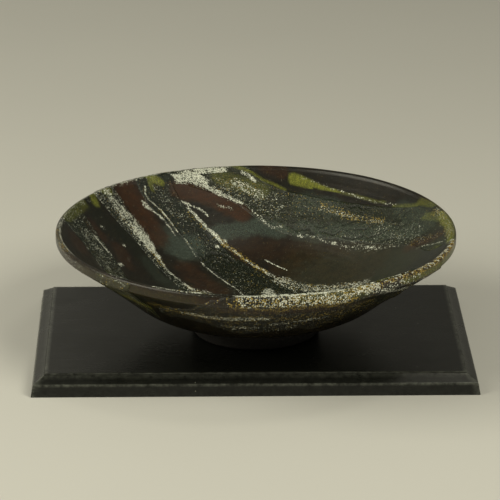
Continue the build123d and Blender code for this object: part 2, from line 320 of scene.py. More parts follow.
# The outside is drawn in degrees round from the right and millimetres down from the lip's top
OUTSIDE = {
    "cream_and_highlight": [
        # The first stroke runs along the lip's crest as a painted highlight. The next two are pale ash on the
        # crest, made brighter as painted highlight.
        (0.55, 1.3, 1.3, -121, 2, -108, 2),
        (0.95, 1.6, 1.6, -109, 1.5, -107, 1.5),
        (0.95, 2.2, 2, -97, 1.5, -80, 1.5, -66, 2),
        (0.52, 6, 6, -94, 8, -84, 8, -66, 8),
        (0.5, 5, 4, -66, 5, -56, 6),
        (0.35, 3, 3, -60, 9, -40, 9),
        (0.44, 6, 6, -114, 45, -102, 50, -88, 48),
        (0.4, 4, 3, -86, 66, -76, 60, -66, 54),
        (0.3, 8, 8, -104, 74, -90, 78, -78, 76),
        (0.55, 5, 5, -54, 14, -48, 20, -42, 28, -36, 36),
        (0.6, 1.8, 1.2, -180, 0, -168, 0.5, -156, 1),
        (0.5, 4, 3, 180, 1, 172, 0),
        (0.18, 5, 4, -172, 7, -150, 9),
        (0.45, 12, 14, 105, 10, 118, 30, 130, 60),
        (0.5, 6, 6, 98, 4, 120, 5, 146, 4),
    ],
    "gold": [
        (0.75, 12, 12, -95, 12, -84, 14, -66, 12),
        (0.52, 10, 9, -124, 42, -112, 46, -102, 50, -90, 48),
        (0.45, 8, 8, -92, 42, -80, 48, -66, 44, -54, 36),
        (0.85, 3.5, 3.5, -62, 4, -12, 4),
        (0.4, 4, 4, -178, 3, -160, 3),
        (0.4, 5, 5, -136, 40, -131, 50),
        (0.5, 12, 14, 112, 20, 125, 50, 134, 80),
    ],
    "olive": [
        (0.06, 8, 8, -150, 12, -130, 14, -108, 14),
        (0.5, 5, 5, -136, 36, -131, 52),
        (0.3, 6, 6, -80, 4, -60, 6),
        (0.45, 3, 3, -46, 9, -30, 9, -12, 9),
        (0.4, 8, 8, 104, 14, 140, 14),
    ],
    "green": [
        (0.8, 12, 12, -66, 22, -52, 34, -42, 46),
        (0.5, 12, 12, -130, 30, -120, 45),
        (0.3, 9, 9, -170, 8, -140, 9, -112, 9),
        (0.5, 20, 20, 106, 30, 124, 50, 138, 40),
    ],
    "slate_and_sheen": [
        (0.3, 12, 12, -165, 20, -150, 30),
    ],
    "rust": [
        (0.5, 6, 6, -118, 10, -100, 12),
        (0.4, 7, 7, -165, 8, -140, 9, -118, 10),
        (0.95, 8, 7, -100, 24, -84, 26, -70, 26, -58, 30),
        (0.95, 3.5, 3.5, -64, 5, -14, 5),
        (0.5, 10, 10, 20, 20, 60, 24, 90, 20),
    ],
}
# The near-right lip is banded: pale flecks slant across it at about this spacing, in degrees
FLECK_PITCH = 2.6


def lip_flecks():
    """The pale flecks on the near-right lip, as strokes of the outside drawing."""
    flecks = []
    for count in range(20):
        start = -62 + (count + 0.25 * math.sin(5 * count)) * FLECK_PITCH
        broad = 1.5 + 0.5 * math.sin(3 * count)
        flecks.append((0.8, broad, 0.7 * broad, start, 0.5, start + 2, 4.5 + math.sin(7 * count)))
    return flecks


OUTSIDE["cream_and_highlight"] += lip_flecks()
# A degree round the outer wall is about this many millimetres, and the outside is drawn from a line
# this many millimetres inward of the lip's highest point
DEGREE = 2.7
LIP_START = 2
# Middle of the middle streak's crackled crust in the inside drawing, and the spacing of its rings
CRUST_MIDDLE = (-34, 84)
CRACKLE_PITCH = 6

GLAZES = ("cream_and_highlight", "gold", "olive", "green", "slate_and_sheen", "rust")

# What each poured glaze has all over, before the strokes: cream, gold, olive, green, slate, rust
POUR_GROUNDS = {
    "ash_streak_far_left": (0.18, 0.06, 0.00, 0.90, 0.12, 0.00),
    "ash_streak_left": (0.24, 0.10, 0.00, 0.80, 0.05, 0.00),
    "ash_streak_middle": (0.08, 0.08, 0.00, 0.95, 0.03, 0.00),
    "ash_streak_far": (0.04, 0.06, 0.03, 0.90, 0.03, 0.00),
    "olive_streak": (0.05, 0.05, 0.10, 0.50, 0.05, 0.00),
    "ash_thread": (0.80, 0.10, 0.00, 0.20, 0.20, 0.00),
    "outer_ash_front": (0.10, 0.24, 0.00, 0.45, 0.00, 0.10),
    "outer_ash_left": (0.15, 0.20, 0.10, 0.50, 0.05, 0.10),
    "outer_ash_back": (0.22, 0.28, 0.05, 0.45, 0.00, 0.10),
}
# The pours with a thick skin that crept or crackled, and the one that ran clear
CREASED = ("ash_streak_middle", "ash_streak_far")
GLASSY = "olive_streak"


def linear(code):
    """An sRGB hex colour as linear red, green and blue."""
    shares = [int(code[i:i + 2], 16) / 255 for i in (1, 3, 5)]
    return tuple(c / 12.92 if c <= 0.04045 else ((c + 0.055) / 1.055) ** 2.4 for c in shares)


def length(name, text, value):
    """A size, given in metres."""
    return FloatProperty(name=name, description=text, default=value, min=0, unit="LENGTH", precision=4)


def colour(name, text, code):
    """A colour, given as sRGB hex."""
    return FloatVectorProperty(name=name, description=text, default=linear(code), size=3, min=0, max=1,
                               subtype="COLOR")


def power(name, text, value):
    """A lamp's power, given in watts."""
    return FloatProperty(name=name, description=text, default=value, min=0, unit="POWER")


class BasinSizes(bpy.types.PropertyGroup):
    """Sizes of the thrown basin and of the glaze on it."""
    wall: length("Wall", "Thickness of the flaring wall", 6.5 * MM)
    floor: length("Floor", "Thickness of the floor", 9.0 * MM)
    well: length("Well", "Radius of the flat well inside", 50.0 * MM)
    wall_start: length("Wall start", "Radius where the wall leaves the underside", 61.0 * MM)
    lip: length("Lip", "Width of the rolled lip", 5.5 * MM)
    band: length("Band", "Height of the upright band below the lip", 10.5 * MM)
    groove: length("Groove", "Depth of the groove under the band", 1.3 * MM)
    throwing: length("Throwing rings", "Height of the throwing rings", 0.05 * MM)
    ring_pitch: length("Ring pitch", "Distance between throwing rings", 7.0 * MM)
    waver: length("Rim waver", "How far the rim leaves a true plane", 0.5 * MM)
    pour: length("Pour", "Thickness of the thin poured glazes", 0.8 * MM)
    crust: length("Crust", "Thickness of the crusty pours", 1.1 * MM)
    film: length("Film", "Thickness of the glassy pour", 0.25 * MM)
    thread: length("Thread", "Width of the thin trail", 3.0 * MM)
    cell: length("Cell", "Size of the pours' mesh cells", 1.3 * MM)


class FootSizes(bpy.types.PropertyGroup):
    """Sizes of the foot ring."""
    width: length("Width", "Width of the ring", 9.0 * MM)
    taper: length("Taper", "Lean of the outer face", 1.6 * MM)
    chamfer: length("Chamfer", "Trimmed edges of the standing face", 1.5 * MM)


class BoardSizes(bpy.types.PropertyGroup):
    """Sizes of the board's edge moulding."""
    side: length("Side height", "Height of the moulding's side face", 10.8 * MM)
    batter: length("Batter", "Lean of the side face", 1.9 * MM)
    arris: length("Lip radius", "Softened edge between side and bevel", 1.3 * MM)
    step: length("Step", "How far the panel stands above the bevel", 0.8 * MM)
    gap: length("Mitre gap", "Depth of the softened edge along a joint", 0.25 * MM)


class GlazeColours(bpy.types.PropertyGroup):
    """Colours of the glazes and the clay."""
    iron_dark: colour("Iron, thick", "Iron glaze where it lies thick", "#0c0b06")
    iron_brown: colour("Iron, thin", "Iron glaze where it thins", "#1c170d")
    rust: colour("Rust", "Iron that breaks to reddish brown", "#39200b")
    green: colour("Green", "Ash melted into the iron glaze", "#0e170b")
    # Slate is underfired grey skin. Where it lies in the well's soft patches it is painted reflection of the
    # room's light.
    slate_and_sheen: colour("Slate", "Underfired grey skin", "#353f37")
    olive: colour("Olive", "Clear yellow-green ash glass", "#72762a")
    milk: colour("Milk", "Ash that clouded the glaze", "#626853")
    gold: colour("Gold", "Amber crystals", "#a38c3d")
    # Cream is pale ash. In a few strokes it is also painted glare and highlight, where light shines off the
    # glaze.
    cream_and_highlight: colour("Cream", "Pale ash specks", "#f4f7e8")
    # Both clay colours are set near black as painted shade, for the foot in the deep shadow under the basin
    clay: colour("Clay", "Bare fired stoneware", "#18130e")
    clay_dark: colour("Clay, flashed", "Clay darkened by iron", "#0d0a07")


class BoardColours(bpy.types.PropertyGroup):
    """Colours of the lacquered board."""
    lacquer: colour("Lacquer", "Black lacquer", "#0f100d")
    # The worn grey lightens rubbed edges. It is set light enough to be the arrises' painted highlight too.
    wear_and_highlight: colour("Worn lacquer", "Lacquer rubbed thin along edges", "#54564f")
    dust: colour("Dust", "Specks of dust", "#8d8d80")


class StageLook(bpy.types.PropertyGroup):
    """The floor and the lamps."""
    floor: colour("Floor", "Colour of the studio floor", "#d0cfca")
    sky: colour("Sky", "Colour of the light all round and of the lamps", "#f3efdb")
    ambient: FloatProperty(name="Ambient", description="Strength of the light all round", default=0.18, min=0)
    key: power("Key lamp", "Power of the large soft lamp at the left", 46.0)
    front: power("Front lamp", "Power of the soft lamp in front, at the right", 32.0)
    top: power("Top lamp", "Power of the small lamp overhead", 1.7)
    card: power("Card", "Power of the dim card behind", 1.5)


class SuibanSettings(bpy.types.PropertyGroup):
    """Everything that can be changed."""
    basin: PointerProperty(type=BasinSizes)
    foot: PointerProperty(type=FootSizes)
    board: PointerProperty(type=BoardSizes)
    glaze: PointerProperty(type=GlazeColours)
    lacquer: PointerProperty(type=BoardColours)
    stage: PointerProperty(type=StageLook)


def smooth_line(points, count):
    """Evenly spread points on a natural cubic curve through the given ones."""
    points = np.array(points, float)
    knots = run_along(points)
    gaps = np.diff(knots)
    last = len(points) - 1
    system = np.eye(last + 1)
    bends = np.zeros_like(points)
    for i in range(1, last):
        system[i, i - 1:i + 2] = gaps[i - 1], 2 * (gaps[i - 1] + gaps[i]), gaps[i]
        bends[i] = 6 * ((points[i + 1] - points[i]) / gaps[i] - (points[i] - points[i - 1]) / gaps[i - 1])
    bends = np.linalg.solve(system, bends)
    spread = np.linspace(0, knots[-1], 4 * count)
    k = np.clip(np.searchsorted(knots, spread, side="right") - 1, 0, last - 1)
    gap = gaps[k, None]
    a = (knots[k + 1] - spread)[:, None] / gap
    b = 1 - a
    curve = a * points[k] + b * points[k + 1] + (
        (a ** 3 - a) * bends[k] + (b ** 3 - b) * bends[k + 1]) * gap ** 2 / 6
    return resampled(curve, count)


def run_along(line):
    """How far along the line each of its points is."""
    return np.concatenate([[0], np.cumsum(np.linalg.norm(np.diff(line, axis=0), axis=1))])


def resampled(line, count):
    """The same line as that many evenly spread points."""
    line = np.asarray(line, float)
    run = run_along(line)
    spread = np.linspace(0, run[-1], count)
    return np.stack([np.interp(spread, run, line[:, i]) for i in range(line.shape[1])], 1)


def normals(line):
    """Unit vectors square to a flat line, to its left."""
    along = np.gradient(line, axis=0)
    along /= np.linalg.norm(along, axis=1)[:, None]
    return np.stack([-along[:, 1], along[:, 0]], 1)


def eased(value, low, high):
    """0 below low, 1 above high, and a smooth rise between them."""
    share = np.clip((value - low) / (high - low), 0, 1)
    return share * share * (3 - 2 * share)


def lumps(points, size, seed):
    """Smooth random heights from -1 to 1 at points in space, with lumps of about that size. The seed
    picks the pattern."""
    scaled = points / size + 1000
    cell = np.floor(scaled).astype(np.int64)
    part = scaled - cell
    part = part * part * (3 - 2 * part)
    total = np.zeros(len(points))
    for corner in range(8):
        step = np.array([corner & 1, corner >> 1 & 1, corner >> 2 & 1])
        place = cell + step
        mixed = place[:, 0] * 73856093 ^ place[:, 1] * 19349663 ^ place[:, 2] * 83492791 ^ seed * 2654435
        mixed = (mixed ^ mixed >> 13) * 1274126177 & 0xffffffff
        height = ((mixed ^ mixed >> 16) & 0xffff) / 32767.5 - 1
        total += height * np.prod(np.where(step, part, 1 - part), axis=1)
    return total


class Section:
    """The basin's turned outline, from the middle of the well over the lip to the middle underneath.
    Places on it are distances along it."""

    def __init__(self, sizes):
        groove = RIM - sizes.groove
        band_foot = RIM_TOP - sizes.band
        wall = np.array([(sizes.wall_start + (groove - sizes.wall_start) * flare,
                          UNDERSIDE + (band_foot - UNDERSIDE) * rise) for flare, rise in WALL_SHARES])
        inward = wall + normals(wall) * sizes.wall
        half_lip = sizes.lip / 2
        spring = RIM_TOP - half_lip
        well_level = UNDERSIDE + sizes.floor
        inside = smooth_line([(sizes.well, well_level), *inward[1:-1], (RIM - sizes.lip, spring)],
                             CURVE_POINTS)
        turn = np.linspace(math.pi, 0, LIP_POINTS)[1:-1]
        crest = np.stack([RIM - half_lip + half_lip * np.cos(turn), spring + half_lip * np.sin(turn)], 1)
        outline = np.concatenate([
            [(0, well_level)], inside, crest,
            [(RIM, spring), (RIM, band_foot + sizes.groove), (groove, band_foot)],
            smooth_line(wall, CURVE_POINTS)[::-1][1:], [(0, UNDERSIDE)]])
        line = resampled(outline, SECTION_POINTS)
        kernel = np.ones(2 * SOFTENING + 1) / (2 * SOFTENING + 1)
        for axis in range(2):
            line[SOFTENING:-SOFTENING, axis] = np.convolve(line[:, axis], kernel, "valid")
        self.sizes = sizes
        self.line = line
        self.place = run_along(line)
        self.normal = normals(line)
        top = int(np.argmax(line[:, 1]))
        foot = len(line) - 1 - int(np.argmax(line[::-1, 0] > sizes.wall_start))
        self.inner = slice(0, top + 1)
        self.well = float(self.inside(sizes.well))
        self.top, self.foot, self.end = self.place[[top, foot, -1]]
        self.strokes = {
            glaze: [(strength, head, tail, laid(self, np.reshape(way, (-1, 2)) * MM * DRAWING) / MM / DRAWING)
                    for strength, head, tail, *way in strokes]
            for glaze, strokes in (*INSIDE.items(), ("folds", FOLDS))}

    def inside(self, radius):
        """Place of a radius on the inside."""
        return np.interp(radius, self.line[self.inner, 0], self.place[self.inner])

    def points(self, azimuth, place, above=0.0):
        """Points at that azimuth and place on the thrown clay, or that far above it."""
        radius, level = (np.interp(place, self.place, self.line[:, i]) for i in (0, 1))
        out, up = (np.interp(place, self.place, self.normal[:, i]) for i in (0, 1))
        # Throwing rings run up the walls and fade at the well, the foot and the lip
        rings = np.sin(2 * math.pi * place / self.sizes.ring_pitch + 0.6 * np.sin(3 * azimuth) + azimuth)
        rings *= eased(place, self.well * 0.3, self.well) * eased(self.foot - place, 0, 20 * MM)
        rings *= 1 - eased(place, self.top - 14 * MM, self.top - 6 * MM) * (
            1 - eased(place, self.top + 14 * MM, self.top + 24 * MM))
        clay = np.stack([radius * np.cos(azimuth), radius * np.sin(azimuth), level], -1)
        uneven = UNEVEN * lumps(clay, 38 * MM, 3) * eased(radius, 40 * MM, 90 * MM)
        push = above + self.sizes.throwing * rings + uneven
        # The rim leaves its plane in a slow wave, and stands higher at the back
        sway = np.sin(2 * azimuth + 0.9) + 0.5 * np.sin(3 * azimuth - 1.1)
        lift = self.sizes.waver * 0.6 * sway + FAR_RIM_LIFT * eased(np.sin(azimuth), 0.2, 0.9)
        for height, middle, spread in LIP_BUMPS:
            lift += height * np.exp(-((np.degrees(azimuth) - middle) / spread) ** 2)
        reach = radius + out * push
        return np.stack([AXIS + reach * np.cos(azimuth), reach * np.sin(azimuth),
                         level + up * push + lift * eased(radius, 0.45 * RIM, RIM)], -1)


def laid(section, drawn):
    """Plan points of the drawings, in metres, laid on the basin along the line of sight."""
    radius, level = np.array(DRAWN_DISH).T
    low = np.interp(np.linalg.norm(drawn, axis=1) / MM / DRAWING, radius, level) * MM
    start = np.column_stack([drawn[:, 0] + AXIS, drawn[:, 1], low])
    sight = EYE - start
    sight /= np.linalg.norm(sight, axis=1)[:, None]
    # Each line of sight is followed from 18 mm above the drawn dish to 8 mm below it
    steps = np.arange(18, -8, -0.25) * MM
    path = start[:, None] + sight[:, None] * steps[None, :, None]
    reach = np.hypot(path[..., 0] - AXIS, path[..., 1])
    inner = section.line[section.inner]
    above = path[..., 2] - np.interp(reach, inner[:, 0], inner[:, 1])
    result = drawn.copy()
    for i, heights in enumerate(above):
        met = np.flatnonzero((heights[:-1] > 0) & (heights[1:] <= 0))
        if len(met) and reach[i, met[0]] < RIM:
            result[i] = path[i, met[0], 0] - AXIS, path[i, met[0], 1]
    return result


def as_drawn(clay):
    """Points on the basin as places in the inside drawing, and how far the edges drawn there stray."""
    plan = (clay[:, :2] - (AXIS, 0)) / MM / DRAWING
    return plan, 0.6 * lumps(clay, 5 * MM, 11) + 0.6 * lumps(clay, 2.2 * MM, 12)


def stroked(places, strokes, waver, share=0.0):
    """How strongly a glaze covers each place, 0 to 1: its share all over, then its strokes."""
    cover = np.full(len(places), float(share))
    for strength, head, tail, line in strokes:
        reach = 1.5 * max(head, tail) + 1
        near = np.flatnonzero(((places > line.min(0) - reach) & (places < line.max(0) + reach)).all(1))
        spot = places[near]
        # Distance from the stroke's line in its half widths: solid up to 0.55, and gone at 1.25
        best = np.full(len(near), 9.0)
        run = run_along(line)
        for i, way in enumerate(np.diff(line, axis=0)):
            along = np.clip((spot - line[i]) @ way / (way @ way), 0, 1)
            gap = np.linalg.norm(spot - line[i] - along[:, None] * way, axis=1)
            width = head + (tail - head) * (run[i] + along * (run[i + 1] - run[i])) / run[-1]
            best = np.minimum(best, gap / width)
        best += 0.35 * waver[near] * min(1, max(head, tail) / 4)
        cover[near] = np.maximum(cover[near], strength * (1 - eased(best, 0.55, 1.25)))
    return cover


def crumpled(clay, plan, folds, waver):
    """1 on smooth glaze, down to 0 in the far streak's folds and in the rings of the crackled crust."""
    far = np.hypot(*(plan - CRUST_MIDDLE).T)
    ring = 0.5 + 0.5 * np.cos(2 * math.pi * far / CRACKLE_PITCH + 2.0 * lumps(clay, 7 * MM, 62))
    in_crust = 1 - eased(far, 16, 26)
    return (1 - stroked(plan, folds, waver)) * (1 - in_crust * (1 - ring))


def glazed(section, azimuth, place, ground=(0,) * 6, creased=False):
    """Cover of each glaze at those places on the basin: an array with one column per glaze."""
    clay = section.points(azimuth, place)
    plan, waver = as_drawn(clay)
    degrees = (np.degrees(azimuth) + 180) % 360 - 180
    down = (place - section.top) / MM + LIP_START
    wall = np.stack([degrees * DEGREE, down], 1)
    within = 1 - eased(down, 0, 6)
    outside = eased(down, -4, 1)
    smooth = 1.0
    # In the folds and the crackle rings the ash covers are taken back, so the creases darken as painted
    # shade. The skin's own dip there is built in skin_height.
    if creased:
        smooth -= 0.85 * within * (1 - crumpled(clay, plan, section.strokes["folds"], waver))
    columns = []
    for glaze, share in zip(GLAZES, ground):
        drawn = [(strength, head, tail, np.reshape(way, (-1, 2)) * (DEGREE, 1))
                 for strength, head, tail, *way in OUTSIDE[glaze]]
        # The olive glass ran clear and kept a smooth edge
        edge = waver * (0.3 if glaze == "olive" else 1.0)
        inner = stroked(plan, section.strokes[glaze], edge, share) * within
        outer = stroked(wall, drawn, waver, share) * outside
        cover = np.maximum(inner, outer)
        columns.append(cover if glaze in ("green", "rust") else cover * smooth)
    covers = np.stack(columns, 1)
    # Iron breaks through the ash in the rust
    bare = stroked(plan, section.strokes["rust"], waver) * within
    covers[:, :5] *= 1 - np.outer(bare, (0.15, 0.15, 0.8, 0.8, 0.9))
    return covers


def mesh_piece(name, points, faces, covers=None, flow=None, wear_and_highlight=None):
    """A smooth mesh object from points in metres, with its glaze cover, its flow or its wear and painted
    highlight.
    """
    mesh = bpy.data.meshes.new(name)
    mesh.from_pydata(np.asarray(points, float).tolist(), [], [tuple(map(int, face)) for face in faces])
    vectors = {"flow": flow}
    if covers is not None:
        vectors.update(ash_cover=covers[:, :3], ground_cover=covers[:, 3:])
    for label, values in vectors.items():
        if values is not None:
            layer = mesh.attributes.new(label, "FLOAT_VECTOR", "POINT")
            layer.data.foreach_set("vector", np.ascontiguousarray(values, np.float32).ravel())
    if wear_and_highlight is not None:
        layer = mesh.attributes.new("wear_and_highlight", "FLOAT", "POINT")
        layer.data.foreach_set("value", np.array(wear_and_highlight, np.float32))
    mesh.shade_smooth()
    mesh.validate()
    piece = bpy.data.objects.new(name, mesh)
    bpy.context.scene.collection.objects.link(piece)
    return piece


def grid_faces(rows, columns, start=0, closed=False, flip=False):
    """Quads of a grid of points numbered row by row."""
    i, j = np.meshgrid(np.arange(rows - 1), np.arange(columns if closed else columns - 1), indexing="ij")
    k = (j + 1) % columns
    quads = np.stack([i * columns + j, i * columns + k, (i + 1) * columns + k, (i + 1) * columns + j], -1)
    quads = quads.reshape(-1, 4) + start
    return quads[:, ::-1] if flip else quads


def skin(name, section, azimuth, place, height, covers, flow, rows):
    """A closed skin of glaze on the basin: rows of places with that height above the clay, the same
    rows rooted in the clay, and the four sides between them."""
    points = np.concatenate([section.points(azimuth, place, above) for above in (height, -ROOT)])
    columns = len(place) // rows
    size = rows * columns
    order = np.arange(size).reshape(rows, columns)
    border = np.concatenate([order[0, :-1], order[:-1, -1], order[-1, :0:-1], order[:0:-1, 0]])
    after = np.roll(border, -1)
    faces = [grid_faces(rows, columns), grid_faces(rows, columns, size, flip=True),
             np.stack([border, border + size, after + size, after], 1)]
    return mesh_piece(name, points, np.concatenate(faces), np.tile(covers, (2, 1)), np.tile(flow, (2, 1)))


def add(tree, kind, links=None, **settings):
    """A node of that kind with its settings, and its inputs linked or set. A node given for an input
    stands for its first output that is in use."""
    node = tree.nodes.new("ShaderNode" + kind)
    for label, value in settings.items():
        setattr(node, label, value)
    for label, source in (links or {}).items():
        if isinstance(source, bpy.types.Node):
            source = next(output for output in source.outputs if output.enabled)
        if isinstance(source, bpy.types.NodeSocket):
            tree.links.new(source, node.inputs[label])
        else:
            node.inputs[label].default_value = source
    return node


def new_material(name):
    """An empty material with nodes."""
    material = bpy.data.materials.new(name)
    material.use_nodes = True
    material.node_tree.nodes.clear()
    return material, material.node_tree


def rgba(value):
    """A colour with full alpha."""
    return (*value, 1)


# How a Mix node lays one colour over another, and how it darkens or lightens one
OVER = {"data_type": "RGBA"}
TIMES = {"data_type": "RGBA", "blend_type": "MULTIPLY"}


def ash_glaze(name, colours, roughness, bump, coarse=1.0):
    """High-fired iron glaze (temmoku) with wood ash poured over it, melted in a kiln. The eye gets
    brown-black glass that thins to rust, milky green and grey where ash went in, and pale and amber
    crystals. Real ones go below a tenth of a millimetre. They are drawn about a millimetre wide, or
    they would vanish in the picture."""
    material, tree = new_material(name)
    place = add(tree, "TexCoord").outputs["Object"]
    cream_and_highlight, gold, olive = add(tree, "SeparateXYZ", {
        0: add(tree, "Attribute", attribute_name="ash_cover").outputs["Vector"]}).outputs
    green, slate_and_sheen, rust = add(tree, "SeparateXYZ", {
        0: add(tree, "Attribute", attribute_name="ground_cover").outputs["Vector"]}).outputs
    flow = add(tree, "Attribute", attribute_name="flow").outputs["Vector"]
    # Three noises, spread to 0 to 1: drifts 9 mm wide, hairs 1.6 mm wide drawn out along the flow,
    # and grit of 0.8 mm
    stretched = add(tree, "VectorMath", {0: flow, 1: (0.12, 1, 1)}, operation="MULTIPLY")
    spread = {}
    for label, source, size, detail, low, high in (
            ("drift", place, 9 * MM, 4, 0.35, 0.65), ("hair", stretched, 1.6 * MM, 3, 0.35, 0.65),
            ("grit", place, 0.8 * MM, 2, 0.36, 0.62)):
        noise = add(tree, "TexNoise", {"Vector": source, "Scale": 1 / size, "Detail": detail,
                                       "Roughness": 0.6})
        spread[label] = add(tree, "MapRange", {"Value": noise, "From Min": low, "From Max": high})
    # Ground: layers from the iron glaze up, each by its cover and broken up by one of the noises
    ground = add(tree, "Mix", {0: spread["drift"], 6: rgba(colours.iron_dark), 7: rgba(colours.iron_brown)},
                 **OVER)
    for tint, cover, noise, break_up in (
            (colours.rust, rust, "drift", 0.45), (colours.green, green, "hair", 0.4),
            (colours.slate_and_sheen, slate_and_sheen, "grit", 0.5), (colours.olive, olive, "hair", 0.5)):
        broken = add(tree, "MapRange", {"Value": spread[noise], "To Min": 1 - break_up, "To Max": 1.0})
        amount = add(tree, "Math", {0: cover, 1: broken}, operation="MULTIPLY", use_clamp=True)
        ground = add(tree, "Mix", {0: amount, 6: ground, 7: rgba(tint)}, **OVER)
    # The iron glaze breaks finely all over
    speckled = add(tree, "MapRange", {"Value": spread["grit"], "To Min": 0.55, "To Max": 1.5})
    ground = add(tree, "Mix", {0: 1.0, 6: ground, 7: speckled}, **TIMES)
    # Where ash went in, the ground is grainy: darker and lighter by the grit
    ashy = add(tree, "Math", {0: green, 1: slate_and_sheen}, operation="ADD", use_clamp=True)
    grain = add(tree, "MapRange", {"Value": spread["grit"], "To Min": 0.45, "To Max": 1.5})
    ground = add(tree, "Mix", {0: ashy, 6: ground, 7: grain}, **TIMES)
    # Where ash lies thick it clouds the glaze
    cloud = add(tree, "MapRange", {"Value": cream_and_highlight, "From Min": 0.6, "From Max": 1.0, "To Max": 0.4})
    broken = add(tree, "MapRange", {"Value": spread["grit"], "To Min": 0.35, "To Max": 1.0})
    amount = add(tree, "Math", {0: cloud, 1: broken}, operation="MULTIPLY")
    ground = add(tree, "Mix", {0: amount, 6: ground, 7: rgba(colours.milk)}, **OVER)
    # Crystals: one to a cell, its brightness from the cell's own number and the cover there
    both = add(tree, "Math", {0: spread["drift"], 1: spread["hair"]}, operation="ADD")
    clumps = add(tree, "MapRange", {"Value": both, "From Max": 2.0, "To Min": 0.45, "To Max": 1.55})
    crystals = 0.0
    for faint, bright, drawn, size, strength, shift in (
            (colours.gold, colours.gold, gold, 1.25 * MM, 0.9, (3, 1, 2)),
            (colours.milk, colours.cream_and_highlight, cream_and_highlight, 1.3 * MM, 1.0, (0, 0, 0)),
            (colours.milk, colours.cream_and_highlight, cream_and_highlight, 0.9 * MM, 1.0, (7, 5, 1))):
        cover = add(tree, "Math", {0: drawn, 1: clumps}, operation="MULTIPLY", use_clamp=True)
        moved = add(tree, "VectorMath", {0: place, 1: shift}, operation="ADD")
        cells = add(tree, "TexVoronoi", {"Vector": moved, "Scale": 1 / (size * coarse)})
        first, second, third = add(tree, "SeparateColor", {0: cells.outputs["Color"]}).outputs
        level = add(tree, "Math", {0: cover, 1: first}, operation="ADD")
        there = add(tree, "MapRange", {"Value": level, "From Min": 0.95, "From Max": 1.3})
        reach = add(tree, "MapRange", {"Value": cover, "To Min": 0.42, "To Max": 0.58})
        edge = add(tree, "Math", {0: reach, 1: cells.outputs["Distance"]}, operation="SUBTRACT")
        shape = add(tree, "MapRange", {"Value": edge, "From Min": 0.0, "From Max": 0.2})
        amount = add(tree, "Math", {0: there, 1: shape}, operation="MULTIPLY")
        rare = add(tree, "MapRange", {"Value": third, "From Min": 0.72, "From Max": 1.0})
        light = add(tree, "Math", {0: there, 1: rare}, operation="MAXIMUM")
        uneven = add(tree, "MapRange", {"Value": second, "To Min": 0.6, "To Max": 1.0})
        light = add(tree, "Math", {0: light, 1: uneven}, operation="MULTIPLY")
        tint = add(tree, "Mix", {0: light, 6: rgba(faint), 7: rgba(bright)}, **OVER)
        shown = add(tree, "MapRange", {"Value": amount, "From Max": 0.45, "To Max": strength})
        ground = add(tree, "Mix", {0: shown, 6: ground, 7: tint}, **OVER)
        crystals = add(tree, "Math", {0: crystals, 1: shown}, operation="MAXIMUM")
    # The grey skin is a little duller than the glass
    rough = add(tree, "MapRange", {"Value": slate_and_sheen, "To Min": roughness, "To Max": roughness + 0.09})
    relief = add(tree, "Math", {0: crystals, 1: spread["grit"]}, operation="ADD")
    bumped = add(tree, "Bump", {"Height": relief, "Distance": bump, "Strength": 0.6})
    shader = add(tree, "BsdfPrincipled", {
        "Base Color": ground, "Roughness": rough, "IOR": 1.43, "Normal": bumped})
    add(tree, "OutputMaterial", {"Surface": shader})
    return material


def bare_stoneware(colours):
    """Bare fired stoneware of the foot, trimmed on the wheel: dull brown, gritty, with fine turned lines and
    darker where iron flashed it. Its colours are set near black as painted shade, since the foot stands in
    the shadow under the basin. Its grog is 1.2 mm, coarser than in clay, so that it shows, and the lines lie
    1.3 mm apart."""
    material, tree = new_material("bare_trimmed_stoneware")
    place = add(tree, "TexCoord").outputs["Object"]
    flash = add(tree, "TexNoise", {"Vector": place, "Scale": 1 / (18 * MM), "Detail": 4})
    grog = add(tree, "TexVoronoi", {"Vector": place, "Scale": 1 / (1.2 * MM)})
    spots = add(tree, "MapRange", {"Value": grog, "From Min": 0.1, "From Max": 0.4, "To Min": 0.65,
                                   "To Max": 1.0})
    tint = add(tree, "Mix", {0: flash, 6: rgba(colours.clay_dark), 7: rgba(colours.clay)}, **OVER)
    shade = add(tree, "Mix", {0: 1.0, 6: tint, 7: spots}, **TIMES)
    # A wave texture has 3.2 bands to the unit
    lines = add(tree, "TexWave", {"Vector": place, "Scale": 1 / (4 * MM), "Distortion": 2.0},
                wave_type="BANDS", bands_direction="Z")
    height = add(tree, "Math", {0: lines.outputs["Fac"], 1: grog}, operation="ADD")
    bumped = add(tree, "Bump", {"Height": height, "Distance": 0.12 * MM, "Strength": 0.7})
    shader = add(tree, "BsdfPrincipled", {"Base Color": shade, "Roughness": 0.82, "IOR": 1.5,
                                          "Normal": bumped})
    add(tree, "OutputMaterial", {"Surface": shader})
    return material


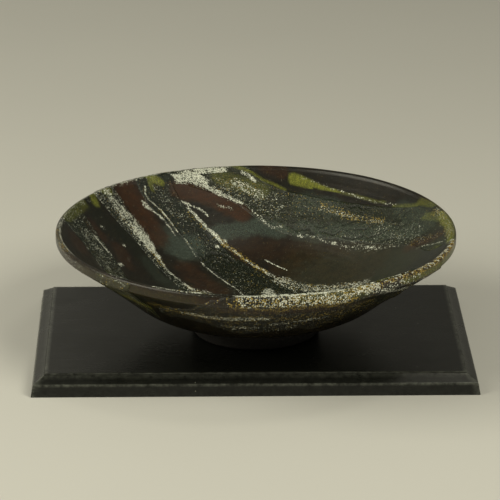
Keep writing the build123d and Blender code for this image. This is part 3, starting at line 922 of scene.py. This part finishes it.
def black_lacquer(name, colours, grain):
    """Urethane black lacquer over wood, rubbed to a satin. The eye gets a near-black with a soft sheen, the
    faint grain of the wood under it, edges rubbed grey and a few specks of dust. The grey of the edges is
    made light enough to serve also as painted highlight along the arrises. The grain is 1.4 mm wide, coarser
    than in wood, so that it shows."""
    material, tree = new_material(name)
    place = add(tree, "TexCoord").outputs["Object"]
    wear_and_highlight = add(tree, "Attribute", attribute_name="wear_and_highlight").outputs["Fac"]
    long_grain = add(tree, "VectorMath", {0: place, 1: grain}, operation="MULTIPLY")
    streaks = add(tree, "TexNoise", {"Vector": long_grain, "Scale": 1 / (1.4 * MM), "Detail": 3,
                                     "Roughness": 0.6})
    cloud = add(tree, "TexNoise", {"Vector": place, "Scale": 1 / (30 * MM), "Detail": 4})
    rub_and_highlight = add(tree, "TexNoise", {"Vector": place, "Scale": 1 / (5 * MM), "Detail": 4, "Roughness": 0.7})
    rubbed = add(tree, "MapRange", {"Value": rub_and_highlight, "From Min": 0.35, "From Max": 0.65, "To Min": 0.10})
    # Edges rubbed grey, and lighter on the arrises as painted highlight
    thin = add(tree, "Math", {0: wear_and_highlight, 1: rubbed}, operation="MULTIPLY", use_clamp=True)
    tint = add(tree, "Mix", {0: thin, 6: rgba(colours.lacquer), 7: rgba(colours.wear_and_highlight)}, **OVER)
    # Dust: one speck in some of the cells 9 mm wide
    specks = add(tree, "TexVoronoi", {"Vector": place, "Scale": 1 / (9 * MM)})
    number = add(tree, "SeparateColor", {0: specks.outputs["Color"]})
    rare = add(tree, "Math", {0: number, 1: 0.08}, operation="LESS_THAN")
    small = add(tree, "Math", {0: specks, 1: 0.06}, operation="LESS_THAN")
    dust = add(tree, "Math", {0: rare, 1: small}, operation="MULTIPLY")
    tint = add(tree, "Mix", {0: dust, 6: tint, 7: rgba(colours.dust)}, **OVER)
    mottled = add(tree, "Math", {0: streaks, 1: cloud}, operation="ADD")
    rough = add(tree, "MapRange", {"Value": mottled, "From Min": 0.6, "From Max": 1.4, "To Min": 0.24,
                                   "To Max": 0.36})
    bumped = add(tree, "Bump", {"Height": streaks, "Distance": 0.04 * MM, "Strength": 0.3})
    shader = add(tree, "BsdfPrincipled", {"Base Color": tint, "Roughness": rough, "IOR": 1.42,
                                          "Normal": bumped})
    add(tree, "OutputMaterial", {"Surface": shader})
    return material


def settle(piece, body, slot, material, *nodes):
    """The piece gets its material and body, and stands for its CAD nodes."""
    piece.data.materials.append(material)
    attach(piece, body)
    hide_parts(*nodes)


class SUIBAN_OT_stage(bpy.types.Operator):
    """Set up the camera, the floor and the lamps"""
    bl_idname = "suiban.stage"
    bl_label = "Stage"

    def execute(self, context):
        scene = context.scene
        look = scene.suiban.stage
        scene.view_settings.view_transform = "Standard"
        # Camera: where the picture was taken from, in the board's frame
        pitch, yaw, roll = (math.radians(a) for a in EYE_TURNS)
        forward = Vector((math.sin(yaw) * math.cos(pitch), math.cos(yaw) * math.cos(pitch),
                          -math.sin(pitch)))
        right = Vector((math.cos(yaw), -math.sin(yaw), 0))
        up = right.cross(forward)
        turn = Matrix((right * math.cos(roll) + up * math.sin(roll),
                       up * math.cos(roll) - right * math.sin(roll), -forward)).transposed().to_4x4()
        data = bpy.data.cameras.new("camera")
        data.sensor_width = SENSOR_MM
        data.lens = SENSOR_MM * FOCAL_PIXELS / PICTURE_PIXELS
        data.clip_end = 50
        camera = bpy.data.objects.new("camera", data)
        scene.collection.objects.link(camera)
        camera.matrix_world = Matrix.Translation(EYE) @ turn
        scene.camera = camera
        # Floor: a pale painted sheet that reaches nine metres each way, clouded over half a metre
        reach = 9.0
        floor = mesh_piece("floor", [(-reach, -reach, 0), (reach, -reach, 0), (reach, reach, 0),
                                     (-reach, reach, 0)], [(0, 1, 2, 3)])
        material, tree = new_material("painted_studio_floor")
        place = add(tree, "TexCoord").outputs["Object"]
        cloud = add(tree, "TexNoise", {"Vector": place, "Scale": 1 / 0.5, "Detail": 3})
        shade = add(tree, "MapRange", {"Value": cloud, "To Min": 0.96, "To Max": 1.02})
        tint = add(tree, "Mix", {0: 1.0, 6: rgba(look.floor), 7: shade}, **TIMES)
        shader = add(tree, "BsdfPrincipled", {"Base Color": tint, "Roughness": 0.9})
        add(tree, "OutputMaterial", {"Surface": shader})
        floor.data.materials.append(material)
        # Light all round, a large soft key at the left, a weaker lamp in front at the right, a small
        # one overhead for the glaze's shine, and a dim card behind that the board mirrors. All four
        # are turned to the basin's foot.
        world = bpy.data.worlds.new("studio")
        world.use_nodes = True
        world.node_tree.nodes.clear()
        sky = add(world.node_tree, "Background", {"Color": rgba(look.sky), "Strength": look.ambient})
        add(world.node_tree, "OutputWorld", {"Surface": sky})
        scene.world = world
        for name, watts, spot, size in (
                ("key_lamp", look.key, (-1.9, -0.5, 1.35), (1.9, 1.35)),
                ("front_lamp", look.front, (1.3, -1.3, 1.7), (1.2, 1.0)),
                ("top_lamp", look.top, (0.47, -0.11, 1.6), (0.26, 0.26)),
                ("back_card", look.card, (-1.0, 2.2, 0.75), (1.6, 1.0))):
            light = bpy.data.lights.new(name, "AREA")
            light.shape = "RECTANGLE"
            light.size, light.size_y = size
            light.energy = watts
            light.color = look.sky
            lamp = bpy.data.objects.new(name, light)
            lamp.location = spot
            lamp.rotation_euler = (Vector((0, 0, 0.05)) - Vector(spot)).to_track_quat("-Z", "Y").to_euler()
            lamp.visible_camera = False
            scene.collection.objects.link(lamp)
        return {"FINISHED"}


class SUIBAN_OT_basin(bpy.types.Operator):
    """Throw the basin: well, wall, lip, band and underside in one skin"""
    bl_idname = "suiban.basin"
    bl_label = "Basin"

    def execute(self, context):
        settings = context.scene.suiban
        section = Section(settings.basin)
        # Rows of cells along the section, closer at the lip and the band
        stops = (0, section.well, section.top - 7 * MM, section.top + 7 * MM, section.top + 14 * MM,
                 section.foot, section.end)
        counts = (12, 88, 14, 7, 36, 6)
        places = np.concatenate([np.linspace(*ends, count, endpoint=False)
                                 for *ends, count in zip(stops, stops[1:], counts)])[1:]
        azimuths = np.linspace(0, 2 * math.pi, BASIN_ROUND, endpoint=False)
        place, azimuth = (a.ravel() for a in np.meshgrid(places, azimuths, indexing="ij"))
        # Flow: how far along the section, then how far round at six tenths of the rim's radius
        flow = np.stack([place, azimuth * RIM * 0.6, 0 * place], 1)
        # The two ends of the section close the skin with fans of triangles
        points = np.concatenate([section.points(azimuth, place),
                                 section.points(np.zeros(2), np.array([0, section.end]))])
        faces = grid_faces(len(places), BASIN_ROUND, closed=True).tolist()
        middle = len(place)
        last = middle - BASIN_ROUND
        for k in range(BASIN_ROUND):
            after = (k + 1) % BASIN_ROUND
            faces += [(middle, after, k), (middle + 1, last + k, last + after)]
        two_more = ((0, 2), (0, 0))
        piece = mesh_piece("basin", points, faces, np.pad(glazed(section, azimuth, place), two_more),
                           np.pad(flow, two_more))
        # Iron glaze with only a veil of ash: satin and nearly smooth
        glaze = ash_glaze("temmoku_iron_glaze", settings.glaze, 0.31, 0.12 * MM)
        settle(piece, "bowl", "iron_glaze", glaze, "bowl_body")
        return {"FINISHED"}


class SUIBAN_OT_foot(bpy.types.Operator):
    """Turn the foot ring"""
    bl_idname = "suiban.foot"
    bl_label = "Foot ring"

    def execute(self, context):
        settings = context.scene.suiban
        sizes = settings.foot
        inner, outer = FOOT_RADIUS - sizes.width, FOOT_RADIUS - sizes.taper
        # The ring reaches a little into the basin's skin
        low, high = FOOT_LOW.z, FOOT_HIGH.z + 0.3 * MM
        line = resampled([
            (inner, high), (inner, low + sizes.chamfer), (inner + sizes.chamfer, low),
            (outer - sizes.chamfer, low), (outer, low + sizes.chamfer), (FOOT_RADIUS, high), (inner, high)],
            FOOT_POINTS)[:-1]
        line = (np.roll(line, 1, 0) + line * 2 + np.roll(line, -1, 0)) / 4
        azimuth = np.linspace(0, 2 * math.pi, FOOT_ROUND, endpoint=False)
        round_about = np.stack([np.cos(azimuth), np.sin(azimuth), 0 * azimuth], 1)
        radius = line[:, :1] + 0.25 * MM * lumps(round_about, 0.35, 5)
        points = np.stack([AXIS + radius * np.cos(azimuth), radius * np.sin(azimuth),
                           line[:, 1:] + 0 * radius], -1).reshape(-1, 3)
        # The last row of cells joins the section's end to its start
        faces = grid_faces(len(line) + 1, FOOT_ROUND, closed=True) % len(points)
        piece = mesh_piece("foot", points, faces)
        settle(piece, "bowl", "bare_clay", bare_stoneware(settings.glaze), "foot_ring")
        return {"FINISHED"}


def within_lip(line, reach):
    """The stretch of a plan line that lies inside that radius."""
    kept = np.flatnonzero(np.linalg.norm(line, axis=1) <= reach)
    return line[kept[0]:kept[-1] + 1]


def pour_plan(edges, cell, reach):
    """The plan of a pour between its two edges, as a grid of points, how wide each row is, how far
    each point is from a free edge, and how far apart the rows are."""
    left, right = (within_lip(smooth_line(edge, EDGE_POINTS), reach) for edge in edges)
    run = max(run_along(edge)[-1] for edge in (left, right))
    rows = int(run / cell) + 2
    step = run / (rows - 1)
    left, right = resampled(left, rows), resampled(right, rows)
    width = np.linalg.norm(right - left, axis=1)
    share = np.linspace(0, 1, max(8, int(np.percentile(width, 80) / cell)))
    plan = left[:, None] * (1 - share[:, None]) + right[:, None] * share[:, None]
    gap = np.minimum(share, 1 - share) * width[:, None]
    for end, count in ((0, np.arange(rows)), (-1, np.arange(rows)[::-1])):
        ends = np.array([left[end], right[end]])
        if np.linalg.norm(ends, axis=1).min() > reach - 3 * MM:
            # An end at the lip is drawn out to the lip's circle, and is not free
            angles = np.unwrap(np.arctan2(ends[:, 1], ends[:, 0]))
            angle = angles[0] + (angles[1] - angles[0]) * share
            arc = reach * np.stack([np.cos(angle), np.sin(angle)], 1)
            pull = eased(1 - count / (rows - 1), 0.72, 1)
            plan += (arc - plan[end]) * pull[:, None, None]
        else:
            gap = np.minimum(gap, count[:, None] * step)
    return plan, width, gap, step


def skin_height(section, azimuth, place, thickness, gap, cover, creased=False, glassy=False):
    """Height of a poured skin above the clay: a rounded edge, a slack body and a crust of crystals.
    The gap is each place's distance from the skin's edge."""
    clay = section.points(azimuth, place)
    plan, waver = as_drawn(clay)
    ragged = gap + 0.5 * MM * lumps(clay, 3.5 * MM, 21) + 0.35 * MM * lumps(clay, 1.6 * MM, 22)
    # The olive glass ran out to a thin shore, where the ash stopped in a bead
    shore, bead = (9 * MM, 0.0) if glassy else (2.4 * MM, 0.22)
    edge = eased(ragged, 0.1 * MM, shore)
    body = 0.62 + 0.2 * lumps(clay, 14 * MM, 23) + bead * np.exp(-((ragged - 2.2 * MM) / (1.6 * MM)) ** 2)
    body += 0.28 * cover[:, 0] * lumps(clay, 1.9 * MM, 24) + 0.10 * lumps(clay, 4 * MM, 25)
    if creased:
        body -= 0.6 * (1 - crumpled(clay, plan, section.strokes["folds"], waver))
    # Past its ragged edge the skin dips under the basin's own
    return thickness * edge * body - 0.22 * MM * (1 - edge)


def pour(section, node, edges):
    """One poured glaze inside, as a closed skin between its two edges."""
    sizes = section.sizes
    creased, glassy = node in CREASED, node == GLASSY
    thickness = sizes.crust if creased else sizes.film if glassy else sizes.pour
    cell = sizes.cell / 3 if node == "ash_thread" else sizes.cell
    # A pour that crosses the lip ends just inside the lip's crest
    plan, width, gap, step = pour_plan(edges, cell, RIM - sizes.lip * 0.7)
    rows, columns = gap.shape
    x, y = plan.reshape(-1, 2).T
    gap = gap.ravel()
    radius = np.hypot(x, y)
    azimuth = np.arctan2(y, x)
    # The near half, which the photograph doesn't show, wanders as poured glaze does
    near = eased(-y, 0, 30 * MM)
    flat = np.stack([x, y, 0 * x], 1)
    wander = 3.2 * MM * lumps(flat, 17 * MM, 31) + 1.2 * MM * lumps(flat, 6 * MM, 32)
    azimuth += near * wander / np.maximum(radius, 0.3 * RIM)
    place = section.inside(radius)
    cover = glazed(section, azimuth, place, POUR_GROUNDS[node], creased)
    # There the ash thins out towards the pour's edge,
    loose = gap + 3 * MM * lumps(section.points(azimuth, place), 12 * MM, 27)
    cover[:, :2] *= (1 - near * (1 - eased(loose, 0, 9 * MM)))[:, None]
    # and it lies in long trails with green pools between them
    drawn_out = np.stack([radius * np.cos(azimuth), radius * np.sin(azimuth) / 7, 0 * x], 1)
    trail = lumps(drawn_out, 7 * MM, 28) + 0.5 * lumps(drawn_out, 2.5 * MM, 29)
    pool = eased(lumps(drawn_out, 11 * MM, 30), 0.1, 0.6) * eased(radius, 0.4 * RIM, 0.9 * RIM)
    cover[:, :2] *= np.clip(1 + near * 0.9 * trail, 0, 2)[:, None]
    cover[:, 2] = np.maximum(cover[:, 2], 0.4 * near * pool)
    cover[:, 4] = np.maximum(cover[:, 4], 0.5 * near * eased(-trail, 0.2, 0.9))
    # A pour lies level with the well's floor, and thickens up the wall
    thickness *= 0.3 + 0.7 * eased(radius, sizes.well, sizes.well + 25 * MM)
    height = skin_height(section, azimuth, place, thickness, gap, cover, creased, glassy)
    flow = np.zeros((rows, columns, 3))
    flow[..., 0] = np.arange(rows)[:, None] * step
    flow[..., 1] = np.linspace(-0.5, 0.5, columns) * width[:, None]
    name = node.replace("streak", "pour").replace("thread", "trail")
    return skin(name, section, azimuth, place, height, cover, flow.reshape(-1, 3), rows)


def outer_run(section, node):
    """One run of ash crust on the outside, as a closed skin between its head and its foot."""
    outline = np.array(OUTER_RUNS[node], float)
    start, stop = outline[[0, -1], 0]
    degrees = np.linspace(start, stop, int(math.radians(stop - start) * RIM / section.sizes.cell))
    head, foot = (np.interp(degrees, outline[:, 0], outline[:, i]) for i in (1, 2))
    # Away from the lip both ends are ragged
    across = np.stack([degrees * DEGREE * MM, 0 * degrees, 0 * degrees], 1)
    free = eased(head, 3, 12)
    head += free * (2.5 * lumps(across, 7 * MM, 35) + 1.5 * lumps(across, 3 * MM, 36))
    foot += 3.5 * lumps(across, 9 * MM, 31) + 2.0 * lumps(across, 4 * MM, 32)
    foot = np.maximum(foot, head + 2)
    rows = int(outline[:, 2].max() / RUN_CELL)
    deep = (head + (foot - head) * np.linspace(0, 1, rows)[:, None]) * MM
    place = (section.top + deep - LIP_START * MM).ravel()
    azimuth = np.radians(np.tile(degrees, rows))
    below = foot * MM - deep
    above = deep - head * MM + (1 - free) * 0.8 * MM
    side = np.minimum(degrees - start, stop - degrees) * math.radians(1) * RIM
    gap = np.minimum(np.minimum(below, side), above).ravel()
    cover = glazed(section, azimuth, place, POUR_GROUNDS[node])
    cover[:, :2] *= 0.35 + 0.65 * eased(below.ravel(), 2 * MM, 22 * MM)[:, None]
    height = skin_height(section, azimuth, place, section.sizes.crust, gap, cover)
    # Low at the right the crust bulges in drops
    deep = deep.ravel()
    low_right = eased(np.degrees(azimuth), -75, -50) * eased(deep, 18 * MM, 40 * MM)
    drops = np.clip(lumps(section.points(azimuth, place), 6 * MM, 33), 0, 1) * 1.2 * MM
    height += drops * low_right * eased(gap, 0.5 * MM, 4 * MM)
    flow = np.stack([deep, azimuth * RIM, 0 * azimuth], 1)
    return skin(node.replace("outer_ash", "ash_run"), section, azimuth, place, height, cover, flow, rows)


class SUIBAN_OT_pours(bpy.types.Operator):
    """Pour the ash glazes over the inside"""
    bl_idname = "suiban.pours"
    bl_label = "Poured glazes inside"

    def execute(self, context):
        settings = context.scene.suiban
        section = Section(settings.basin)
        # Ash that melted thick looks wet over rough crystals, and the olive glass lies almost flat
        ash = ash_glaze("poured_wood_ash_glaze", settings.glaze, 0.12, 0.32 * MM)
        glass = ash_glaze("olive_ash_glass", settings.glaze, 0.30, 0.06 * MM)
        outlines = {node: [laid(section, np.array(edge) * RIM) for edge in edges]
                    for node, edges in STREAKS.items()}
        thread = laid(section, np.array(THREAD) * RIM)
        half = normals(thread) * settings.basin.thread / 2
        outlines["ash_thread"] = [thread + half, thread - half]
        for node, edges in outlines.items():
            piece = pour(section, node, edges)
            if node == GLASSY:
                settle(piece, "bowl", "olive_glaze", glass, node)
            else:
                settle(piece, "bowl", "ash_glaze", ash, node)
        return {"FINISHED"}


class SUIBAN_OT_runs(bpy.types.Operator):
    """Run the ash crust down the outside"""
    bl_idname = "suiban.runs"
    bl_label = "Ash runs outside"

    def execute(self, context):
        settings = context.scene.suiban
        section = Section(settings.basin)
        # Outside the ash stayed a dry crust, satin and rough, with larger crystals
        crust = ash_glaze("mottled_ash_crust", settings.glaze, 0.32, 0.35 * MM, coarse=1.25)
        for node in OUTER_RUNS:
            settle(outer_run(section, node), "bowl", "ash_crust", crust, node)
        return {"FINISHED"}


def panel_slab(half, soft):
    """The board's panel: a slab with softened edges and a barely uneven face. Its points, faces and wear,
    with the lighter top edge partly painted highlight, for half its size both ways."""
    x, y = np.linspace(-1, 1, PANEL_LONG), np.linspace(-1, 1, PANEL_WIDE)
    last_x, last_y = PANEL_LONG - 1, PANEL_WIDE - 1
    ring = ([(i, 0) for i in range(last_x + 1)] + [(last_x, j) for j in range(1, last_y)]
            + [(i, last_y) for i in range(last_x, -1, -1)] + [(0, j) for j in range(last_y - 1, 0, -1)])
    within = [(i, j) for j in range(1, last_y) for i in range(1, last_x)]
    # Rings from the underside up, then the inside of the face: inset, level, wear (at the top edge also
    # painted highlight) and grid places
    layers = ((soft, PANEL_LOW.z, 0.15, ring), (0, PANEL_LOW.z + soft, 0.15, ring),
              (0, BOARD_TOP - 2 * soft, 0.15, ring), (0.6 * soft, BOARD_TOP - 0.6 * soft, 1.0, ring),
              (2 * soft, BOARD_TOP, 1.0, ring), (2 * soft, BOARD_TOP, 0.0, within))
    points = np.array([(x[i] * (half[0] - inset), y[j] * (half[1] - inset), level)
                       for inset, level, wear, spots in layers for i, j in spots])
    wear_and_highlight = [wear for inset, level, wear, spots in layers for spot in spots]
    rings = len(layers) - 1
    faces = grid_faces(rings, len(ring), closed=True).tolist()
    number = {spot: (rings - 1) * len(ring) + k for k, spot in enumerate(ring + within)}
    faces += [(number[i, j], number[i + 1, j], number[i + 1, j + 1], number[i, j + 1])
              for j in range(last_y) for i in range(last_x)]
    faces.append(tuple(range(len(ring)))[::-1])
    face = points[:, 2] > BOARD_TOP - MM
    points[face, 2] += 0.03 * MM * lumps(points[face] * (0.4, 1, 1), 16 * MM, 41)
    return points, faces, wear_and_highlight


def moulding_profile(sizes, width):
    """The section of the board's moulding, from its foot up over the bevel: inset, level, and wear, which on
    the arris is partly painted highlight.
    """
    bevel_top = BOARD_TOP - sizes.step
    side_lean = math.atan2(sizes.batter, sizes.side)
    bevel_lean = math.atan2(bevel_top - sizes.side, width - sizes.batter)
    # The arris between side and bevel is an arc round a centre inside the wood
    into_wood = (bevel_lean - side_lean - math.pi / 2) / 2
    reach = sizes.arris / math.sin((math.pi / 2 + side_lean + bevel_lean) / 2)
    centre = (sizes.batter + reach * math.cos(into_wood), sizes.side + reach * math.sin(into_wood))
    # The arris is all worn: its lighter lacquer is wear and painted highlight
    arc = [(centre[0] + sizes.arris * math.cos(a), centre[1] + sizes.arris * math.sin(a), 1.0)
           for a in np.linspace(math.pi - side_lean, math.pi / 2 + bevel_lean, ARRIS_POINTS)]
    bevel = [(sizes.batter + (width - sizes.batter) * share, sizes.side + (bevel_top - sizes.side) * share,
              rub_and_highlight) for share, rub_and_highlight in ((0.13, 0.1), (0.5, 0.05))]
    return [(0.5 * MM, 0, 0.4), (0.02 * MM, 0.45 * MM, 0.2), (sizes.batter * 0.5, sizes.side * 0.5, 0.1),
            (sizes.batter * 0.8, sizes.side * 0.8, 0.1), *arc, *bevel,
            (width - 0.3 * MM, bevel_top - 0.1 * MM, 0.5), (width, bevel_top - 0.5 * MM, 0.4),
            (width, 0, 0.2)]


def moulding(profile, sizes, turned, long_half, out):
    """One side of the board's moulding, cut at its mitres: its points, faces, and wear, which is partly
    painted highlight.
    """
    points, wear_and_highlight = [], []
    for share in np.linspace(-1, 1, MOULDING_LONG):
        at_mitre = abs(share) == 1
        for inset, level, rub_and_highlight in profile:
            # The edges of a mitre are eased a little
            shrink = sizes.gap * 0.6 * at_mitre
            points.append((share * (long_half - inset), inset - out + shrink * 0.5 * (level > MM),
                           level - shrink * (level > sizes.side * 0.5)))
            wear_and_highlight.append(1.0 if at_mitre else rub_and_highlight)
    points = np.array(points)
    drift = lumps(points * (0.3, 1, 1), 12 * MM, 50 + turned // 90) * 0.03 * MM
    points[:, 2] = np.maximum(points[:, 2] + drift * (points[:, 2] > MM), BOARD_LOW.z)
    angle = math.radians(turned)
    cosine, sine = math.cos(angle), math.sin(angle)
    points[:, :2] = points[:, :2] @ [(cosine, sine), (-sine, cosine)]
    faces = grid_faces(MOULDING_LONG, len(profile), closed=True, flip=True).tolist()
    start = (MOULDING_LONG - 1) * len(profile)
    faces += [tuple(range(len(profile))), tuple(range(start, start + len(profile)))[::-1]]
    return points, faces, wear_and_highlight


class SUIBAN_OT_board(bpy.types.Operator):
    """Join the board from its panel and four mitred mouldings"""
    bl_idname = "suiban.board"
    bl_label = "Board"

    def execute(self, context):
        settings = context.scene.suiban
        sizes = settings.board
        # The wood's grain is drawn out twelve times along each part
        lacquer = {axis: black_lacquer(f"black_lacquer_{axis}", settings.lacquer, grain)
                   for axis, grain in (("x", (1 / 12, 1, 1)), ("y", (1, 1 / 12, 1)))}
        outer = np.array([BOARD_HIGH.x, -BOARD_LOW.y])
        width = BOARD_HIGH.x - (PANEL_HIGH.x - TONGUE)
        parts = [("panel", "board_panel", "x", panel_slab(outer - width, sizes.gap))]
        profile = moulding_profile(sizes, width)
        for side, turned in (("front", 0), ("right", 90), ("back", 180), ("left", 270)):
            axis = "y" if turned % 180 else "x"
            long_half, out = outer if axis == "x" else outer[::-1]
            parts.append(("moulding_" + side, "board_moulding_" + side, axis,
                          moulding(profile, sizes, turned, long_half, out)))
        for name, node, axis, (points, faces, wear_and_highlight) in parts:
            piece = mesh_piece(name, points, faces, wear_and_highlight=wear_and_highlight)
            piece.data.set_sharp_from_angle(angle=math.radians(40))
            settle(piece, "board", "black_lacquer", lacquer[axis], node)
        return {"FINISHED"}


class SUIBAN_PT_panel(bpy.types.Panel):
    """Sizes, colours and steps of the suiban"""
    bl_label = "Ikebana Suiban"
    bl_space_type = "VIEW_3D"
    bl_region_type = "UI"
    bl_category = "Suiban"

    def draw(self, context):
        settings = context.scene.suiban
        for step in STEPS:
            self.layout.operator(step.bl_idname)
        for group in ("basin", "foot", "board", "glaze", "lacquer", "stage"):
            box = self.layout.box()
            box.label(text=group.capitalize())
            values = getattr(settings, group)
            for name in values.__annotations__:
                box.prop(values, name)


STEPS = (SUIBAN_OT_stage, SUIBAN_OT_board, SUIBAN_OT_basin, SUIBAN_OT_foot, SUIBAN_OT_pours, SUIBAN_OT_runs)
GROUPS = (BasinSizes, FootSizes, BoardSizes, GlazeColours, BoardColours, StageLook, SuibanSettings)


def register():
    """Make the settings, the steps and the panel known to Blender."""
    for group in GROUPS:
        bpy.utils.register_class(group)
    bpy.types.Scene.suiban = PointerProperty(type=SuibanSettings)
    for step in (*STEPS, SUIBAN_PT_panel):
        bpy.utils.register_class(step)


def unregister():
    """Take them out again."""
    for step in (*STEPS, SUIBAN_PT_panel):
        bpy.utils.unregister_class(step)
    del bpy.types.Scene.suiban
    for group in reversed(GROUPS):
        bpy.utils.unregister_class(group)


def main():
    """Build the suiban in the frame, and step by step."""
    register()
    for name in ("stage", "board", "basin", "foot", "pours", "runs"):
        getattr(bpy.ops.suiban, name)()


if __name__ == "__main__":
    main()
